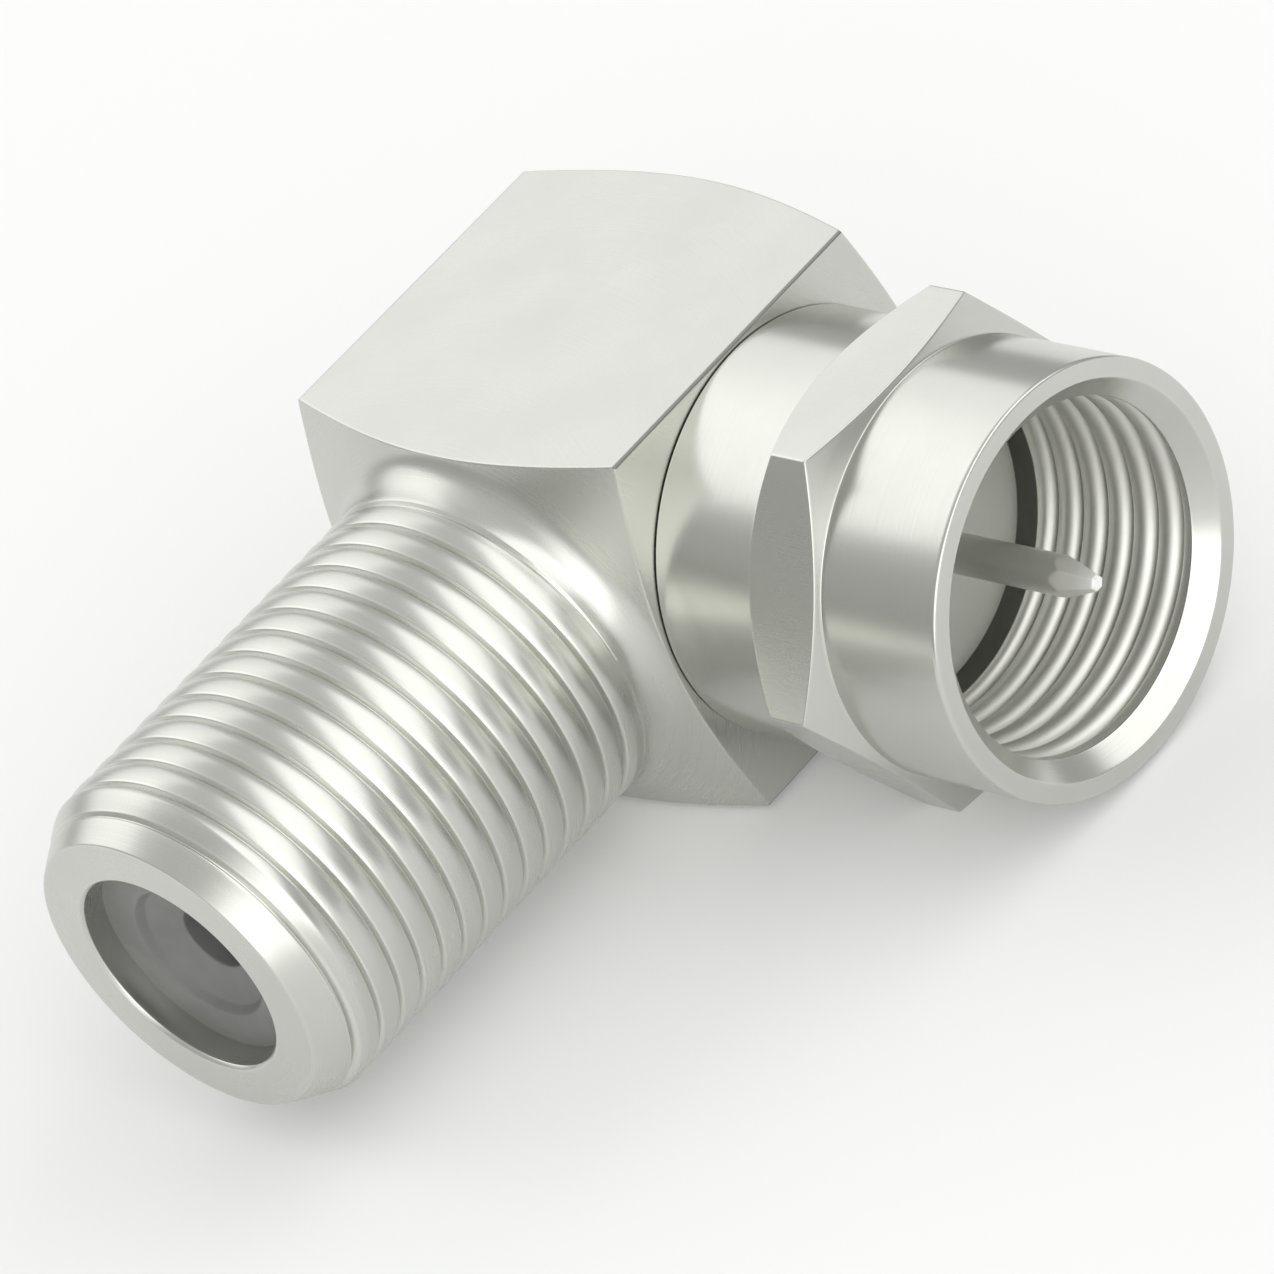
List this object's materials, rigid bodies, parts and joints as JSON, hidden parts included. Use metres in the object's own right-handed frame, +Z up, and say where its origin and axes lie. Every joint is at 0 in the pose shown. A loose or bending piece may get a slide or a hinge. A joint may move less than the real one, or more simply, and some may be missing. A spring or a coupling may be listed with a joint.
{
  "type": "right-angle coaxial adapter",
  "caption": "Right-angle coaxial adapter: a threaded jack at one end and a swivelling hex nut with a centre pin at the other, nickel plated.",
  "frame": {"origin": "centre of the jack's mouth, in the plane of its front ring", "axes": "-Y out of the jack's mouth along its axis, +X out of the nut's mouth along the centre pin, +Z up"},
  "size_m": [0.0201, 0.0246, 0.011],
  "materials": {
    "nickel_plate": "satin nickel plate with fine turning marks",
    "contact_metal": "plain plated, slightly dull",
    "insulator": "matt grey moulding"
  },
  "bodies": {
    "body": {"elbow_body": "nickel_plate", "back_cap": "nickel_plate", "jack_front_insulator": "insulator", "socket_contact": "contact_metal", "jack_rear_insulator": "insulator", "plug_ferrule": "nickel_plate", "plug_insulator": "insulator", "centre_pin": "contact_metal"},
    "nut": {"coupling_nut": "nickel_plate"}
  },
  "joints": [
    {"name": "nut_spin", "type": "hinge", "parent": "body", "child": "nut", "pos_m": [0.01, 0.01827, 0], "axis": [1, 0, 0], "continuous": true}
  ]
}
